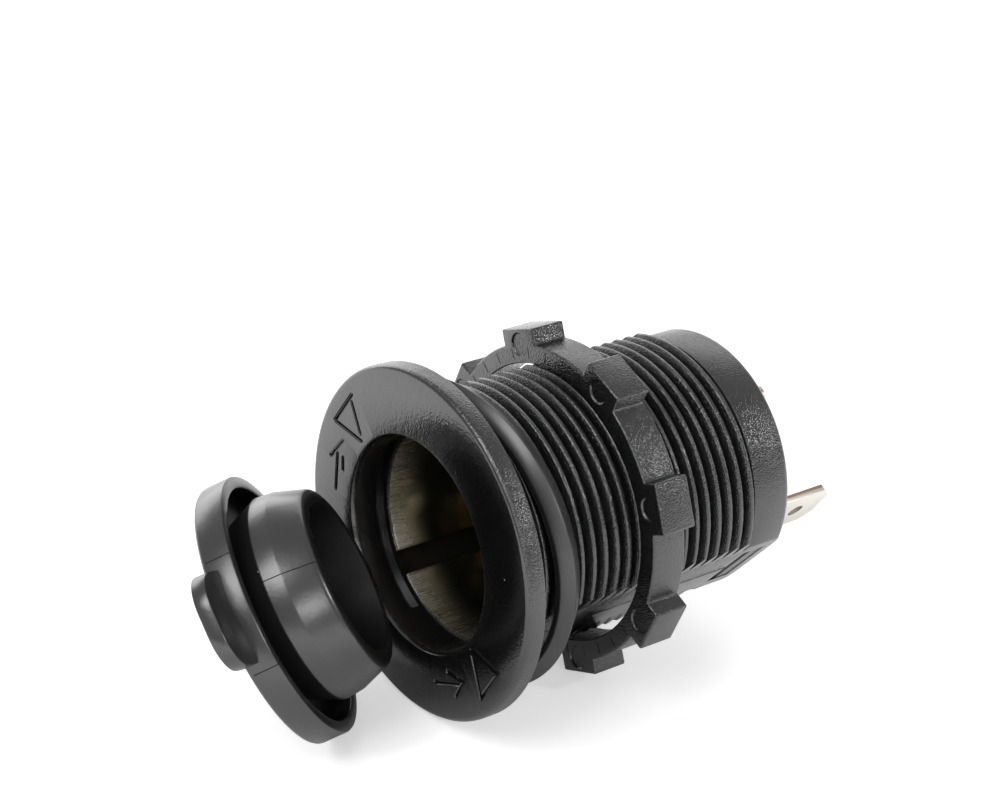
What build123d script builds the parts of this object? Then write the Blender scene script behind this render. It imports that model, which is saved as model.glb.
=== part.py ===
from build123d import *

import math
import os

# A panel-mounted 12 volt accessory socket with its ring nut, panel gasket and push-in cap.
# Y runs along the barrel from the panel seat, which is the back of the flange, to the blade
# terminals. X is to the right seen from the front and Z is up. All sizes are in millimetres.
# Angles round the barrel are in degrees from +X towards +Z.

# Flange and threaded barrel of the housing
flange_diameter = 36.0
flange_thickness = 2.15
flange_front_round = 0.55
flange_back_chamfer = 0.25
barrel_length = 35.0
collar_diameter = 27.1
collar_length = 4.9
collar_front_chamfer = 0.12
collar_end_round = 0.8

# Right-hand thread, cut into half turns by two flats along the barrel and its collar
thread_diameter = 28.6
thread_depth = 1.0
thread_pitch = 1.45
thread_crest_width = 0.42
thread_flank_width = 0.38
thread_sink = 0.3
thread_first_crest = 1.5
thread_first_angle = 32.5
thread_overrun_angle = 3.0
flat_angles = (-40.5, 139.5)
flat_depth = 1.95

# Mouth of the bore, with the two bayonet entries and their locking grooves
mouth_diameter = 21.9
mouth_chamfer_width = 0.2
mouth_chamfer_depth = 0.85
bayonet_angles = (142.0, -38.0)
bayonet_width = 4.2
bayonet_depth = 0.7
bayonet_sweep = 106.0
bayonet_groove_start = 2.75
bayonet_groove_end = 3.9

# Contact sleeve, rolled from sheet with an open seam
sleeve_bore = 21.4
sleeve_wall = 0.5
sleeve_recess = 4.5
sleeve_clearance = 0.05
sleeve_seam_angle = -138.0
sleeve_seam_width = 2.6
sleeve_foot_width = 5.0

# Terminal carrier at the back of the barrel, held by two latches in the flats
carrier_recess = 1.4
carrier_thickness = 4.0
carrier_clearance = 0.1
latch_width = 7.4
latch_length = 2.0
latch_ramp = 0.5
latch_setback = 0.1
latch_sink = 0.05
window_clearance = 0.15
window_lead = 0.7

# Blade terminals, 6.3 by 0.8 tabs on bent feet
blade_angle = -34.0
blade_width = 6.3
blade_thickness = 0.8
blade_reach = 10.55
blade_tip_chamfer = 1.4
blade_hole_diameter = 1.8
blade_hole_from_tip = 3.7
blade_bend_radius = 0.9
positive_blade_offset = -3.7
positive_foot_overhang = 3.1
ground_blade_offset = 9.0
ground_foot_length = 4.3

# Centre contact stud and ground rivet
stud_head_diameter = 8.6
stud_head_height = 2.4
stud_head_chamfer = 1.2
stud_shank_diameter = 3.4
stud_peen_diameter = 5.2
rivet_shank_diameter = 2.0
rivet_head_diameter = 3.4
rivet_head_height = 0.7
rivet_head_chamfer = 0.35
rivet_offset = 6.9
shank_clearance = 0.05

# Ring nut
nut_position = 14.35
nut_thickness = 4.0
nut_running_clearance = 0.1
nut_ring_diameter = 32.8
nut_bore_chamfer = 0.35
nut_lug_count = 8
nut_lug_first_angle = 22.5
nut_lug_height = 17.9
nut_lug_width = 5.2
nut_lug_round = 0.35

# Panel gasket, hanging loose and a little crooked on the thread
gasket_inner_diameter = 29.3
gasket_front_diameter = 30.6
gasket_outer_diameter = 32.8
gasket_back_diameter = 30.4
gasket_front_bevel = 1.0
gasket_back_bevel = 1.8
gasket_position = 1.95
gasket_yaw_angle = 6.5
gasket_pitch_angle = 2.6

# Push-in cap, measured along its own axis from the open rim of the skirt
cap_skirt_diameter = 27.1
cap_skirt_depth = 3.1
cap_skirt_wall = 1.25
cap_back_thickness = 1.3
cap_back_round = 0.5
cap_rim_chamfer = 0.2
cap_neck_diameter = 18.8
cap_bulge_diameter = 21.3
cap_bulge_position = 1.2
cap_ridge_diameter = 20.9
cap_ridge_position = 3.0
cap_end_diameter = 18.5
cap_end_position = 6.4
cap_end_round = 0.7
cap_plug_wall = 1.5
cap_tab_angle = 31.5
cap_tab_reach = 19.2
cap_tab_width = 9.3
cap_tab_thickness = 1.5
cap_tab_round = 3.6

# Place of the cap, taken off and leaning at the mouth of the socket
cap_side = -4.05
cap_stand_off = 11.6
cap_heading_angle = 34.2
cap_elevation_angle = 29.9

# Levels along the barrel that several pieces share
front = -flange_thickness
sleeve_front = front + sleeve_recess
carrier_back = barrel_length - carrier_recess
carrier_front = carrier_back - carrier_thickness
collar_front = barrel_length - collar_length
blade_foot_back = carrier_back + blade_thickness
blade_tip = barrel_length + blade_reach
latch_back = carrier_back - latch_setback
latch_front = latch_back - latch_length

# Radii that several pieces share
flange_radius = flange_diameter / 2
crest_radius = thread_diameter / 2
root_radius = crest_radius - thread_depth
flat_distance = crest_radius - flat_depth
collar_radius = collar_diameter / 2
mouth_radius = mouth_diameter / 2
sleeve_inner_radius = sleeve_bore / 2
sleeve_outer_radius = sleeve_inner_radius + sleeve_wall
pocket_radius = sleeve_outer_radius + sleeve_clearance
carrier_radius = pocket_radius - carrier_clearance
stud_hole_radius = stud_shank_diameter / 2 + shank_clearance
rivet_hole_radius = rivet_shank_diameter / 2 + shank_clearance


def block(x_span, y_span, z_span):
    """A box between the given low and high limits along each axis."""
    spans = (x_span, y_span, z_span)
    lengths = [high - low for low, high in spans]
    lows = [low for low, high in spans]
    return Pos(*lows) * Box(*lengths, align=(Align.MIN, Align.MIN, Align.MIN))


def turned(shape, angle):
    """A shape drawn on the +X side, turned about the barrel's axis towards +Z."""
    return Rot(0, -angle, 0) * shape


def rod(radius, y_low, y_high, x=0.0):
    """A round bar along Y."""
    middle = (y_low + y_high) / 2
    return Pos(x, middle, 0) * Cylinder(radius, y_high - y_low, rotation=(90, 0, 0))


def rounded(profile, corner, radius):
    """A profile with the corner nearest to a point rounded."""
    vertex = profile.vertices().sort_by_distance(corner)[0]
    return fillet(vertex, radius)


def bevelled(profile, corner, length):
    """A profile with the corner nearest to a point cut off at 45 degrees."""
    vertex = profile.vertices().sort_by_distance(corner)[0]
    return chamfer(vertex, length)


def spun(profile, sweep=360.0):
    """A profile of radius against Y, turned about the barrel's axis."""
    return revolve(profile, axis=Axis.Y, revolution_arc=sweep)


def make_thread():
    """The half turns of the thread, each tilted to the thread's lead and running just past the flats."""
    flat_half_angle = math.degrees(math.acos(flat_distance / root_radius))
    sweep = 180.0 - 2 * flat_half_angle + 2 * thread_overrun_angle
    rise = thread_pitch * sweep / 720.0
    tilt = math.degrees(math.atan2(rise, crest_radius * math.sin(math.radians(sweep / 2))))
    half_crest = thread_crest_width / 2
    half_base = half_crest + thread_flank_width * (1 + thread_sink / thread_depth)
    base = root_radius - thread_sink
    section = [(base, -half_base), (crest_radius, -half_crest), (crest_radius, half_crest), (base, half_base)]
    ridge = turned(spun(Polygon(*section, align=None), sweep), sweep / 2)
    ridge = Rot(tilt, 0, 0) * ridge

    half_turns = []
    room = half_base + rise
    for angle in flat_angles:
        middle = angle + 90.0
        level = thread_first_crest - thread_pitch * (middle - thread_first_angle) / 360.0
        while level + room < collar_front:
            if level > room:
                half_turns.append(Pos(0, level, 0) * turned(ridge, middle))
            level += thread_pitch
    return half_turns


def make_housing():
    """Flange, threaded barrel and plain collar, moulded in one piece."""
    outline = [(0, front), (flange_radius, front), (flange_radius, 0), (root_radius, 0)]
    outline += [(root_radius, collar_front), (collar_radius, collar_front)]
    outline += [(collar_radius, barrel_length), (0, barrel_length)]
    profile = Polygon(*outline, align=None)
    profile = rounded(profile, (flange_radius, front), flange_front_round)
    profile = bevelled(profile, (flange_radius, 0), flange_back_chamfer)
    profile = bevelled(profile, (collar_radius, collar_front), collar_front_chamfer)
    profile = rounded(profile, (collar_radius, barrel_length), collar_end_round)
    housing = spun(profile) + make_thread()

    flat = block((flat_distance, flange_radius), (0, barrel_length), (-flange_radius, flange_radius))
    for angle in flat_angles:
        housing -= turned(flat, angle)

    mouth_edge = mouth_radius + mouth_chamfer_width
    bore = [(0, front), (mouth_edge, front), (mouth_radius, front + mouth_chamfer_depth)]
    bore += [(mouth_radius, sleeve_front), (pocket_radius, sleeve_front)]
    bore += [(pocket_radius, barrel_length), (0, barrel_length)]
    housing -= spun(Polygon(*bore, align=None))

    entry_floor = mouth_radius + bayonet_depth
    half_entry = bayonet_width / 2
    groove_low = front + bayonet_groove_start
    groove_high = front + bayonet_groove_end
    entry = block((0, entry_floor), (front, groove_high), (-half_entry, half_entry))
    section = [(0, groove_low), (entry_floor, groove_low), (entry_floor, groove_high), (0, groove_high)]
    groove = spun(Polygon(*section, align=None), bayonet_sweep)
    for angle in bayonet_angles:
        housing -= turned(entry, angle)
        housing -= turned(groove, angle + bayonet_sweep)

    half_window = latch_width / 2 + window_clearance
    window_span = (latch_front - window_lead, latch_back + window_clearance)
    window = block((0, crest_radius), window_span, (-half_window, half_window))
    for angle in flat_angles:
        housing -= turned(window, angle)
    return housing


def make_contact_sleeve():
    """Rolled metal sleeve that grips the plug, with a foot turned in at its back edge."""
    wall = [(sleeve_inner_radius, sleeve_front), (sleeve_outer_radius, sleeve_front)]
    wall += [(sleeve_outer_radius, carrier_front), (sleeve_inner_radius, carrier_front)]
    sleeve = spun(Polygon(*wall, align=None))
    half_seam = sleeve_seam_width / 2
    seam = block((0, pocket_radius), (sleeve_front, carrier_front), (-half_seam, half_seam))
    sleeve -= turned(seam, sleeve_seam_angle)

    half_foot = sleeve_foot_width / 2
    foot_inner = rivet_offset - rivet_head_diameter / 2
    foot_front = carrier_front - sleeve_wall
    foot = block((foot_inner, pocket_radius), (foot_front, carrier_front), (-half_foot, half_foot))
    foot &= rod(sleeve_outer_radius, foot_front, carrier_front)
    foot -= rod(rivet_hole_radius, foot_front, carrier_front, rivet_offset)
    return sleeve + turned(foot, blade_angle)


def make_terminal_carrier():
    """Insulating disc that closes the barrel and carries the stud and both blades."""
    carrier = rod(carrier_radius, carrier_front, carrier_back)
    tip = flat_distance - latch_sink
    wedge = [(0, latch_front), (carrier_radius, latch_front), (tip, latch_front + latch_ramp)]
    wedge += [(tip, latch_back), (0, latch_back)]
    latch = extrude(Polygon(*wedge, align=None), latch_width / 2, both=True)
    for angle in flat_angles:
        carrier += turned(latch, angle)
    carrier -= rod(stud_hole_radius, carrier_front, carrier_back)
    carrier -= turned(rod(rivet_hole_radius, carrier_front, carrier_back, rivet_offset), blade_angle)
    return carrier


def make_centre_contact():
    """Brass stud with a bevelled head for the plug's tip, peened over the positive foot."""
    head_radius = stud_head_diameter / 2
    shank_radius = stud_shank_diameter / 2
    peen_radius = stud_peen_diameter / 2
    peen_back = blade_foot_back + rivet_head_height
    head_front = carrier_front - stud_head_height
    outline = [(0, head_front), (head_radius, head_front), (head_radius, carrier_front)]
    outline += [(shank_radius, carrier_front), (shank_radius, blade_foot_back)]
    outline += [(peen_radius, blade_foot_back), (peen_radius, peen_back), (0, peen_back)]
    profile = bevelled(Polygon(*outline, align=None), (head_radius, head_front), stud_head_chamfer)
    profile = bevelled(profile, (peen_radius, peen_back), rivet_head_chamfer)
    return spun(profile)


def make_ground_rivet():
    """Rivet that clamps the sleeve's foot and the ground blade to the carrier."""
    head_radius = rivet_head_diameter / 2
    shank_radius = rivet_shank_diameter / 2
    seat_front = carrier_front - sleeve_wall
    head_front = seat_front - rivet_head_height
    head_back = blade_foot_back + rivet_head_height
    outline = [(0, head_front), (head_radius, head_front), (head_radius, seat_front)]
    outline += [(shank_radius, seat_front), (shank_radius, blade_foot_back)]
    outline += [(head_radius, blade_foot_back), (head_radius, head_back), (0, head_back)]
    profile = bevelled(Polygon(*outline, align=None), (head_radius, head_front), rivet_head_chamfer)
    profile = bevelled(profile, (head_radius, head_back), rivet_head_chamfer)
    return turned(Pos(rivet_offset, 0, 0) * spun(profile), blade_angle)


def make_blade(offset, foot_end, hole_radius, hole_offset):
    """A tab standing behind the carrier at an offset from the axis, on a foot bent towards foot_end."""
    inward = math.copysign(1.0, foot_end - offset)
    outer = offset - inward * blade_thickness / 2
    inner = offset + inward * blade_thickness / 2
    outline = [(outer, carrier_back), (foot_end, carrier_back), (foot_end, blade_foot_back)]
    outline += [(inner, blade_foot_back), (inner, blade_tip), (outer, blade_tip)]
    profile = rounded(Polygon(*outline, align=None), (outer, carrier_back), blade_bend_radius)
    blade = extrude(profile, blade_width / 2, both=True)

    tip_corners = blade.edges().filter_by(Axis.X).group_by(Axis.Y)[-1]
    blade = chamfer(tip_corners, blade_tip_chamfer)
    hole = Cylinder(blade_hole_diameter / 2, 2 * blade_thickness, rotation=(0, 90, 0))
    blade -= Pos(offset, blade_tip - blade_hole_from_tip, 0) * hole
    blade -= rod(hole_radius, carrier_back, blade_foot_back, hole_offset)
    return turned(blade, blade_angle)


def make_ring_nut():
    """Ring nut with square lugs round its edge, free to turn on the barrel."""
    bore_radius = crest_radius + nut_running_clearance
    ring_radius = nut_ring_diameter / 2
    nut_back = nut_position + nut_thickness
    bore_edge = bore_radius + nut_bore_chamfer
    outline = [(bore_edge, nut_position), (ring_radius, nut_position), (ring_radius, nut_back)]
    outline += [(bore_edge, nut_back), (bore_radius, nut_back - nut_bore_chamfer)]
    outline += [(bore_radius, nut_position + nut_bore_chamfer)]
    nut = spun(Polygon(*outline, align=None))
    half_lug = nut_lug_width / 2
    lug_root = (bore_radius + ring_radius) / 2
    lug = block((lug_root, nut_lug_height), (nut_position, nut_back), (-half_lug, half_lug))
    lug = fillet(lug.edges().filter_by(Axis.Y).group_by(Axis.X)[-1], nut_lug_round)
    for index in range(nut_lug_count):
        nut += turned(lug, nut_lug_first_angle + index * 360.0 / nut_lug_count)
    return nut


def make_panel_gasket():
    """Rubber ring with a bevelled outer edge that seals the flange to the panel."""
    inner_radius = gasket_inner_diameter / 2
    back = gasket_front_bevel + gasket_back_bevel
    outline = [(inner_radius, 0), (gasket_front_diameter / 2, 0)]
    outline += [(gasket_outer_diameter / 2, gasket_front_bevel)]
    outline += [(gasket_back_diameter / 2, back), (inner_radius, back)]
    middle = back / 2
    centred = Pos(0, -middle, 0) * spun(Polygon(*outline, align=None))
    return Pos(0, gasket_position + middle, 0) * Rot(gasket_pitch_angle, 0, gasket_yaw_angle) * centred


def make_cap():
    """Rubber cap with a skirt, a hollow plug and a finger tab, standing at the mouth of the socket."""
    skirt_radius = cap_skirt_diameter / 2
    rim_inner = skirt_radius - cap_skirt_wall
    back = -cap_skirt_depth
    web = back + cap_back_thickness
    neck_radius = cap_neck_diameter / 2
    end_radius = cap_end_diameter / 2
    hollow_radius = end_radius - cap_plug_wall
    outline = [(0, back), (skirt_radius, back), (skirt_radius, 0), (rim_inner, 0), (rim_inner, web)]
    outline += [(neck_radius, web), (cap_bulge_diameter / 2, cap_bulge_position)]
    outline += [(cap_ridge_diameter / 2, cap_ridge_position)]
    outline += [(end_radius, cap_end_position), (hollow_radius, cap_end_position)]
    outline += [(hollow_radius, web), (0, web)]
    profile = Polygon(*outline, align=None)
    profile = rounded(profile, (skirt_radius, back), cap_back_round)
    profile = bevelled(profile, (skirt_radius, 0), cap_rim_chamfer)
    profile = rounded(profile, (end_radius, cap_end_position), cap_end_round)
    cap = spun(profile)

    half_tab = cap_tab_width / 2
    tab = block((rim_inner, cap_tab_reach), (back, back + cap_tab_thickness), (-half_tab, half_tab))
    tab = fillet(tab.edges().filter_by(Axis.Y).group_by(Axis.X)[-1], cap_tab_round)
    tab -= rod(rim_inner, web, back + cap_tab_thickness)
    cap += turned(tab, cap_tab_angle)

    leaning = Rot(0, 0, -cap_heading_angle) * Rot(cap_elevation_angle, 0, 0) * cap
    lowest = leaning.bounding_box().min.Z
    return Pos(cap_side, front - cap_stand_off, -flange_radius - lowest) * leaning


def main():
    pieces = {
        "housing": make_housing(),
        "contact_sleeve": make_contact_sleeve(),
        "terminal_carrier": make_terminal_carrier(),
        "centre_contact": make_centre_contact(),
        "ground_rivet": make_ground_rivet(),
        "positive_blade": make_blade(positive_blade_offset, positive_foot_overhang, stud_hole_radius, 0.0),
        "ground_blade": make_blade(
            ground_blade_offset, ground_blade_offset - ground_foot_length, rivet_hole_radius, rivet_offset
        ),
        "ring_nut": make_ring_nut(),
        "panel_gasket": make_panel_gasket(),
        "cap": make_cap(),
    }
    os.makedirs("parts", exist_ok=True)
    for name, piece in pieces.items():
        export_step(piece, f"parts/{name}.step")


main()
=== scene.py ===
import math

import bmesh
import bpy
from bpy.props import FloatProperty, FloatVectorProperty, IntProperty, PointerProperty
from bpy.types import Operator, Panel, PropertyGroup
from mathutils import Matrix, Vector


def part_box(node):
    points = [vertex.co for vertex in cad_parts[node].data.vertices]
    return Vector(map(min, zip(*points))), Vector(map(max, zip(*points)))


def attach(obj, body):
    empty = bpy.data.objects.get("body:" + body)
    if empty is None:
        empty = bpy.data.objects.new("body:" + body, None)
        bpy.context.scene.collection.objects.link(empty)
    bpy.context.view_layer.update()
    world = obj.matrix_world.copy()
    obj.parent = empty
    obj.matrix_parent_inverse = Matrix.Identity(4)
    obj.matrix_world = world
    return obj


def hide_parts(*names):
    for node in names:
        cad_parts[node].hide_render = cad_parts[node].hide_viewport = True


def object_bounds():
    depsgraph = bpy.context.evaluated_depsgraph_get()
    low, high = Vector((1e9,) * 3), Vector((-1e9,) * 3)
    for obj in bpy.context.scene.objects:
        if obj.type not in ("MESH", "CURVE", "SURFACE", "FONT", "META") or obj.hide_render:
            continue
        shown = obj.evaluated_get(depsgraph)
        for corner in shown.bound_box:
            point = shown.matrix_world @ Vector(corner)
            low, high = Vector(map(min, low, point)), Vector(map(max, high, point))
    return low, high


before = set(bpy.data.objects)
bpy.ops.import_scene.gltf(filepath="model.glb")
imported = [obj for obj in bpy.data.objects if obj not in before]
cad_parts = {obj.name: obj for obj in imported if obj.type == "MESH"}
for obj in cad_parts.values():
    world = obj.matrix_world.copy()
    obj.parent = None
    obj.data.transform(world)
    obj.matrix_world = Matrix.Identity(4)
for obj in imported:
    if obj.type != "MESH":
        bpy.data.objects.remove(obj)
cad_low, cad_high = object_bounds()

bl_info = {
    "name": "Panel power socket",
    "version": (1, 0, 0),
    "blender": (4, 5, 0),
    "location": "View3D > Sidebar > Socket",
    "description": "Dresses a 12 volt panel socket with its thread, marks, rubber and plated metal",
    "category": "Object",
}

MM = 0.001
ROUND_STEPS = 192
SHARP_ANGLE = math.radians(32)

# Levels along the barrel and radii in millimetres, and angles round it in degrees
FLANGE_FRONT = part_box("housing")[0][1] / MM
FLANGE_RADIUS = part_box("housing")[1][2] / MM
BARREL_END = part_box("housing")[1][1] / MM
SLEEVE_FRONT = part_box("contact_sleeve")[0][1] / MM
SLEEVE_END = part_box("contact_sleeve")[1][1] / MM
NUT_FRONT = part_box("ring_nut")[0][1] / MM
NUT_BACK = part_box("ring_nut")[1][1] / MM
BLADE_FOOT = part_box("ground_blade")[0][1] / MM
BLADE_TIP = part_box("ground_blade")[1][1] / MM
CREST_RADIUS = 14.3
COLLAR_FRONT = 30.1
FLAT_ANGLES = (-40.5, 139.5)
FLAT_DISTANCE = 12.35

# The stud, the rivet, the sleeve's foot and both blades lie along one line through the barrel's axis
TERMINAL_ANGLE = -34.0
RIVET_RADIUS = 6.9
RIVET_HOLE = 2.1

# Strokes of the triangles and arrows on the flange, from radius and angle to radius and angle
MARK_STROKES = (
    ((16.22, 135.2), (16.11, 152.4)), ((16.11, 152.4), (11.95, 143.3)), ((15.65, 137.2), (12.6, 141.4)),
    ((14.25, 163.6), (13.8, 180.3)), ((15.2, 167.7), (14.05, 155.8)), ((13.3, 162.8), (12.9, 168.7)),
    ((11.95, -35.6), (16.19, -44.1)), ((16.19, -44.1), (15.8, -28.8)), ((12.05, -34.8), (15.7, -28.2)),
    ((14.03, -72.3), (14.1, -55.4)), ((12.77, -61.1), (14.1, -51.4)), ((14.1, -51.4), (15.31, -59.8)),
)


def linear(hex_code):
    """Turns an sRGB hex colour into linear red, green, blue and a full alpha."""
    channels = [int(hex_code[start:start + 2], 16) / 255 for start in (1, 3, 5)]
    return [c / 12.92 if c <= 0.04045 else ((c + 0.055) / 1.055) ** 2.4 for c in channels] + [1.0]


def length(name, description, millimetres):
    """A length property whose default is given in millimetres."""
    return FloatProperty(
        name=name, description=description, default=millimetres * MM, min=0.0, unit="LENGTH", precision=5)


def colour(name, description, hex_code):
    """A colour property whose default is given as sRGB hex."""
    return FloatVectorProperty(
        name=name, description=description, default=linear(hex_code), size=4, min=0.0, max=1.0,
        subtype="COLOR")


def power(name, description, watts):
    """A property for the power of a lamp."""
    return FloatProperty(name=name, description=description, default=watts, min=0.0, unit="POWER")


class SocketSizes(PropertyGroup):
    """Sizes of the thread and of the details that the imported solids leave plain."""

    thread_pitch: length("Thread pitch", "Distance from one crest of the barrel's thread to the next", 1.45)
    thread_depth: length("Thread depth", "Height of the thread from root to crest", 1.0)
    crest_width: length("Crest width", "Width of the flat top of each thread", 0.42)
    mark_width: length("Mark width", "Width of the engraved strokes on the flange", 0.58)
    mark_depth: length("Mark depth", "Depth of the engraved strokes on the flange", 0.32)
    nut_edge: length("Nut edge", "Rounding of the ring nut's edges", 0.22)
    ejector_diameter: length("Ejector mark", "Diameter of the round ejector marks on the nut's lugs", 2.5)
    tick_count: IntProperty(
        name="Tick count", description="Fine radial ticks round the front of the ring nut", default=36, min=0)
    seam_width: length("Seam width", "Width of the mould lines on the cap", 0.1)
    sheet_edge: length("Sheet edge", "Rounding of the contact sleeve's sheared edges", 0.1)


class SocketFinishes(PropertyGroup):
    """Colours of the moulded, rubber and metal surfaces."""

    nylon: colour("Nylon", "Black glass-filled nylon of the housing and the nut", "#0c0c0d")
    cap_rubber: colour("Cap rubber", "Rubber of the cap", "#161617")
    gasket_rubber: colour("Gasket rubber", "Rubber of the panel gasket", "#19191a")
    dust: colour("Dust", "Specks of dust on the black surfaces", "#8d8d8a")
    sleeve: colour("Sleeve", "Nickel plating over brass of the contact sleeve", "#d6d2c6")
    tin: colour("Tin", "Tin plating of the blades", "#dcd8cf")
    sheared: colour("Sheared brass", "Bare sheared edge of the blades", "#c2a48a")
    brass: colour("Brass", "Bare brass of the stud and the rivet", "#b98f4e")


class SocketStage(PropertyGroup):
    """Floor and lamps."""

    floor: colour("Floor", "Pale floor under the socket", "#e9e9ea")
    sky_level: FloatProperty(
        name="Sky level", description="Strength of the even light from all round", default=0.55, min=0.0)
    front_power: power("Front lamp", "Power of the soft lamp above the front", 1.15)
    left_power: power("Left lamp", "Power of the wide lamp to the left", 0.8)
    side_power: power("Side lamp", "Power of the small lamp behind and to the right", 0.45)
    right_power: power("Right lamp", "Power of the soft lamp to the right of the mouth", 0.36)
    back_power: power("Back lamp", "Power of the wide lamp above the back", 0.6)


def add(tree, kind, inputs=None, **settings):
    """Adds a shader node, sets its properties and sets or links its inputs."""
    node = tree.nodes.new(kind)
    for name, value in settings.items():
        setattr(node, name, value)
    for name, value in (inputs or {}).items():
        if isinstance(value, bpy.types.NodeSocket):
            tree.links.new(value, node.inputs[name])
        else:
            node.inputs[name].default_value = value
    return node


def new_material(name):
    """An empty material and its node tree."""
    material = bpy.data.materials.new(name)
    material.use_nodes = True
    material.node_tree.nodes.clear()
    return material, material.node_tree


def shade(colour_value, factor):
    """A colour made lighter or darker."""
    return [channel * factor for channel in colour_value[:3]] + [1.0]


def dusted(tree, place, plain, dust):
    """A plain colour with a few specks of dust, one cell of the pattern in four holding a speck."""
    spacing, speck_radius, bare_share = 2.4 * MM, 0.034, 0.75
    cells = add(tree, "ShaderNodeTexVoronoi", {"Vector": place, "Scale": 1 / spacing, "Randomness": 1.0})
    speck = add(tree, "ShaderNodeMath", {
        0: cells.outputs["Distance"], 1: speck_radius}, operation="LESS_THAN")
    chosen = add(tree, "ShaderNodeSeparateColor", {"Color": cells.outputs["Color"]})
    kept = add(tree, "ShaderNodeMath", {0: chosen.outputs["Red"], 1: bare_share}, operation="GREATER_THAN")
    both = add(tree, "ShaderNodeMath", {0: speck.outputs[0], 1: kept.outputs[0]}, operation="MULTIPLY")
    mixed = add(tree, "ShaderNodeMix", {0: both.outputs[0], 6: plain, 7: dust}, data_type="RGBA")
    return mixed.outputs[2]


def black_moulding(name, colour_value, dust, grain, grain_height, peel_height, roughness, specular):
    """Black moulded nylon or rubber: the mould's fine grain over a slow orange peel, and specks of dust."""
    cloud_size, peel_size, gloss_change = 7 * MM, 0.9 * MM, 0.04
    material, tree = new_material(name)
    place = add(tree, "ShaderNodeTexCoord").outputs["Object"]
    cloud = add(tree, "ShaderNodeTexNoise", {"Vector": place, "Scale": 1 / cloud_size, "Detail": 3.0})
    tone = add(tree, "ShaderNodeMix", {
        0: cloud.outputs["Fac"], 6: shade(colour_value, 0.75), 7: shade(colour_value, 1.3)}, data_type="RGBA")
    base = dusted(tree, place, tone.outputs[2], list(dust))
    fine = add(tree, "ShaderNodeTexNoise", {"Vector": place, "Scale": 1 / grain, "Detail": 1.0})
    peel = add(tree, "ShaderNodeTexNoise", {"Vector": place, "Scale": 1 / peel_size, "Detail": 1.0})
    gloss = add(tree, "ShaderNodeMapRange", {
        "Value": cloud.outputs["Fac"], "To Min": roughness - gloss_change,
        "To Max": roughness + gloss_change})
    slow = add(tree, "ShaderNodeBump", {
        "Height": peel.outputs["Fac"], "Distance": peel_height, "Strength": 1.0})
    relief = add(tree, "ShaderNodeBump", {
        "Height": fine.outputs["Fac"], "Distance": grain_height, "Strength": 1.0,
        "Normal": slow.outputs["Normal"]})
    surface = add(tree, "ShaderNodeBsdfPrincipled", {
        "Base Color": base, "Roughness": gloss.outputs["Result"], "Specular IOR Level": specular, "IOR": 1.53,
        "Normal": relief.outputs["Normal"]})
    add(tree, "ShaderNodeOutputMaterial", {"Surface": surface.outputs["BSDF"]})
    return material


def satin_nylon(finishes):
    """Nylon moulded against polished steel: the flange's satin black with a faint orange peel."""
    return black_moulding(
        "nylon moulded satin", finishes.nylon, finishes.dust, grain=0.26 * MM, grain_height=0.02 * MM,
        peel_height=0.012 * MM, roughness=0.2, specular=1.0)


def grained_nylon(finishes):
    """Nylon moulded against spark-eroded steel: a grain that glitters along the highlights.

    It is drawn a little coarser than the real grain, so that it shows.
    """
    return black_moulding(
        "nylon spark-eroded grain", finishes.nylon, finishes.dust, grain=0.16 * MM, grain_height=0.068 * MM,
        peel_height=0.008 * MM, roughness=0.13, specular=1.0)


def cap_rubber(finishes):
    """Soft moulded rubber: dull dark grey with a faint bloom, which shows as a slow cloudiness."""
    return black_moulding(
        "rubber moulded matte", finishes.cap_rubber, finishes.dust, grain=0.3 * MM, grain_height=0.006 * MM,
        peel_height=0.012 * MM, roughness=0.29, specular=1.0)


def core_rubber_painted_shade(finishes):
    """Rubber moulded against a blasted core: the dull inside of the plug and the skirt, its colour halved as
    painted shade in these hollows so that it looks nearly black.
    """
    return black_moulding(
        "rubber moulded dull painted shade", shade(finishes.cap_rubber, 0.5), finishes.dust, grain=0.3 * MM,
        grain_height=0.01 * MM, peel_height=0.012 * MM, roughness=0.5, specular=0.25)


def gasket_rubber(finishes):
    """Cured rubber ring: smooth and even, duller than the nylon beside it."""
    return black_moulding(
        "rubber cured smooth", finishes.gasket_rubber, finishes.dust, grain=0.3 * MM, grain_height=0.003 * MM,
        peel_height=0.006 * MM, roughness=0.36, specular=0.9)


def seam_rubber(finishes):
    """Rubber at a mould line: a hair-thin dark crease."""
    return black_moulding(
        "rubber mould line", shade(finishes.cap_rubber, 0.3), finishes.dust, grain=0.3 * MM,
        grain_height=0.004 * MM, peel_height=0.01 * MM, roughness=0.7, specular=0.2)


def metal_patterns(tree, place, colour_value, stretch, spacing, stain):
    """Fine lines drawn out along the axes of small scale, and a colour with slow patches of tarnish."""
    patch_size = 4 * MM
    along = add(tree, "ShaderNodeMapping", {"Vector": place, "Scale": stretch})
    lines = add(tree, "ShaderNodeTexNoise", {
        "Vector": along.outputs["Vector"], "Scale": 1 / spacing, "Detail": 3.0})
    patch = add(tree, "ShaderNodeTexNoise", {"Vector": place, "Scale": 1 / patch_size, "Detail": 3.0})
    tone = add(tree, "ShaderNodeMix", {
        0: patch.outputs["Fac"], 6: shade(colour_value, stain), 7: list(colour_value)}, data_type="RGBA")
    return lines.outputs["Fac"], tone.outputs[2]


def metal_surface(tree, tone, gloss, lines, height):
    """A bare metal surface with its lines in low relief."""
    relief = add(tree, "ShaderNodeBump", {"Height": lines, "Distance": height, "Strength": 1.0})
    surface = add(tree, "ShaderNodeBsdfPrincipled", {
        "Base Color": tone, "Metallic": 1.0, "Roughness": gloss, "Normal": relief.outputs["Normal"]})
    add(tree, "ShaderNodeOutputMaterial", {"Surface": surface.outputs["BSDF"]})


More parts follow.
